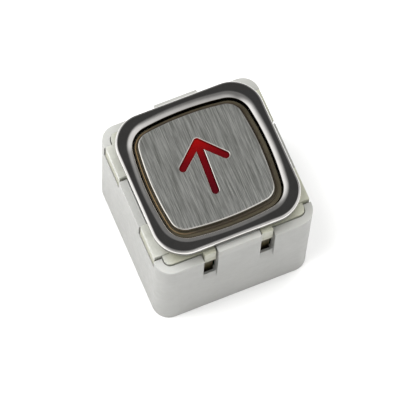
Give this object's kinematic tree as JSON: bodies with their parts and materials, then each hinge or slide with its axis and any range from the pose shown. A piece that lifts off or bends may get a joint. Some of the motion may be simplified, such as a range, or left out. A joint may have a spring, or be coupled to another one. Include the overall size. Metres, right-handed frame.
{
  "type": "lift call push button",
  "caption": "Square panel-mounted lift call button: brushed pressel with red up arrow, polished bezel, sprung travel, switch, lamps and white rear housing.",
  "frame": {"origin": "centre of the housing's flat rear face", "axes": "+Z out of the button's face, +Y the way the arrow points, +X to the right of the arrow"},
  "size_m": [0.041, 0.0412, 0.038],
  "materials": {
    "white_plastic": "fine satin moulding",
    "olive_plastic": "translucent moulding",
    "polished_steel": "polished stainless",
    "brushed_steel": "brushed lengthwise",
    "red_plastic": "glossy",
    "milky_plastic": "translucent moulding",
    "spring_steel": "drawn wire",
    "green_board": "solder-masked laminate",
    "black_plastic": "moulded",
    "grey_plastic": "moulded",
    "ivory_plastic": "moulded nylon",
    "tinned_metal": "tin plated",
    "lamp_lens": "clear tinted resin",
    "resistor_body": "lacquered ceramic",
    "zinc_steel": "zinc plated"
  },
  "bodies": {
    "housing": {"rear_housing": "white_plastic", "inner_frame": "olive_plastic", "bezel_ring": "polished_steel", "circuit_board": "green_board", "switch_base": "black_plastic", "switch_cover": "grey_plastic", "connector_header": "ivory_plastic", "return_spring_1": "spring_steel", "return_spring_2": "spring_steel", "return_spring_3": "spring_steel", "return_spring_4": "spring_steel", "board_screw_1": "zinc_steel", "board_screw_2": "zinc_steel", "board_screw_3": "zinc_steel", "board_screw_4": "zinc_steel", "led_1": "lamp_lens", "led_2": "lamp_lens", "led_3": "lamp_lens", "led_4": "lamp_lens", "resistor_1": "resistor_body", "resistor_2": "resistor_body", "header_pin_1": "tinned_metal", "header_pin_2": "tinned_metal", "header_pin_3": "tinned_metal", "header_pin_4": "tinned_metal", "switch_terminal_1": "tinned_metal", "switch_terminal_2": "tinned_metal", "switch_terminal_3": "tinned_metal"},
    "button": {"pressel_plate": "brushed_steel", "arrow_insert": "red_plastic", "button_carrier": "milky_plastic"},
    "plunger": {"switch_plunger": "red_plastic"}
  },
  "joints": [
    {"name": "button_press", "type": "slide", "parent": "housing", "child": "button", "axis": [0, 0, -1], "range_m": [0, 0.001], "stiffness_N_per_m": 1500, "springref_m": -0.0012, "deforming": ["return_spring_1", "return_spring_2", "return_spring_3", "return_spring_4"]},
    {"name": "plunger_travel", "type": "slide", "parent": "housing", "child": "plunger", "axis": [0, 0, -1], "range_m": [0, 0.001]}
  ],
  "couplings": [
    {"joint": "plunger_travel", "follows": "button_press", "ratio": 1}
  ]
}
